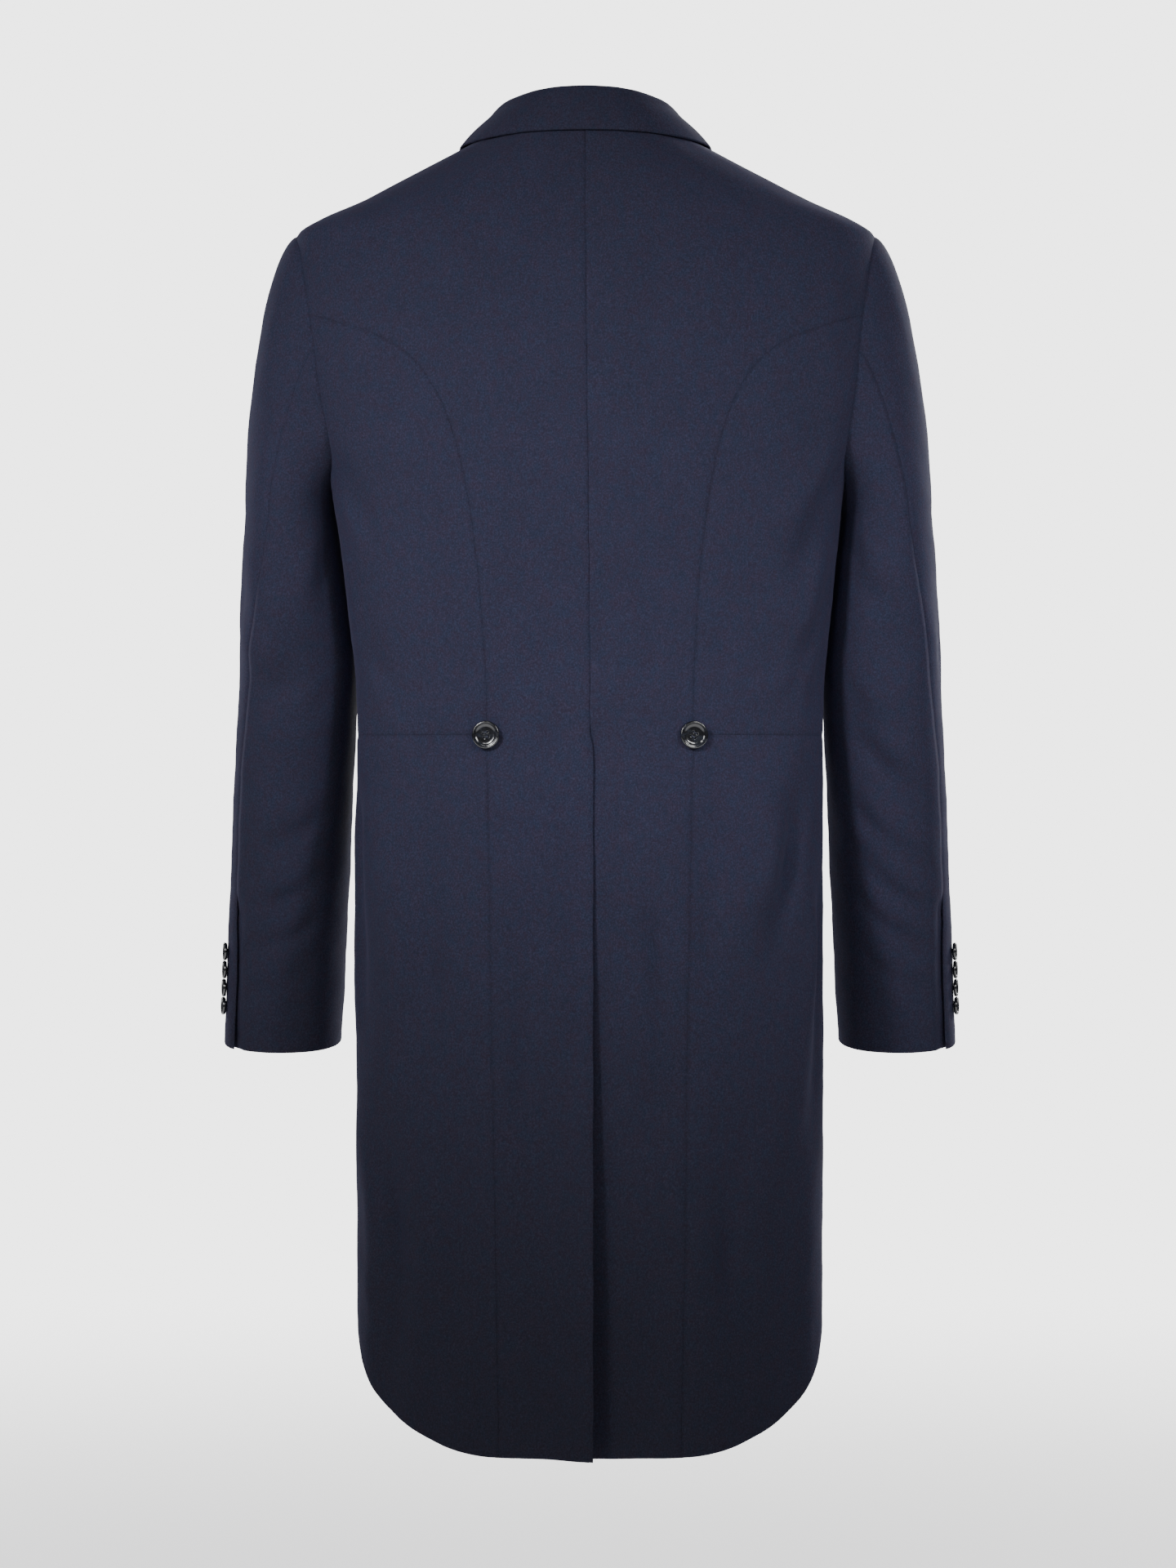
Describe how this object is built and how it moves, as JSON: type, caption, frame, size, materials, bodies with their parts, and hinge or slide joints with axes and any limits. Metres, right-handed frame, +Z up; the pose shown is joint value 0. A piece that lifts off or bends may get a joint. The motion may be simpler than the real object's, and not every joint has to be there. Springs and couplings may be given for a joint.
{
  "type": "morning coat",
  "caption": "Navy wool morning coat in its worn, hollow form, with a turned collar, peaked lapels, cut away skirts, long tails with a centre vent and buttoned cuffs.",
  "frame": {"origin": "middle of the neck opening, level with the points where the shoulder seams meet the collar", "axes": "+Z up along the wearer's spine, front of the coat towards -Y, +X towards the wearer's left"},
  "size_m": [0.6034, 0.2548, 1.0818],
  "materials": {
    "wool": "fine navy worsted wool, matte, with a faint lighter and darker melange",
    "horn": "dark polished horn, turned, with a raised rim"
  },
  "bodies": {
    "root": {"back_left": "wool", "back_right": "wool", "side_body_left": "wool", "side_body_right": "wool", "front_left": "wool", "front_right": "wool", "skirt_left": "wool", "skirt_right": "wool", "lapel_left": "wool", "lapel_right": "wool", "collar": "wool", "top_sleeve_left": "wool", "top_sleeve_right": "wool", "under_sleeve_left": "wool", "under_sleeve_right": "wool", "back_button_left": "horn", "back_button_right": "horn", "front_button": "horn", "cuff_button_left_1": "horn", "cuff_button_left_2": "horn", "cuff_button_left_3": "horn", "cuff_button_left_4": "horn", "cuff_button_right_1": "horn", "cuff_button_right_2": "horn", "cuff_button_right_3": "horn", "cuff_button_right_4": "horn"}
  },
  "joints": []
}
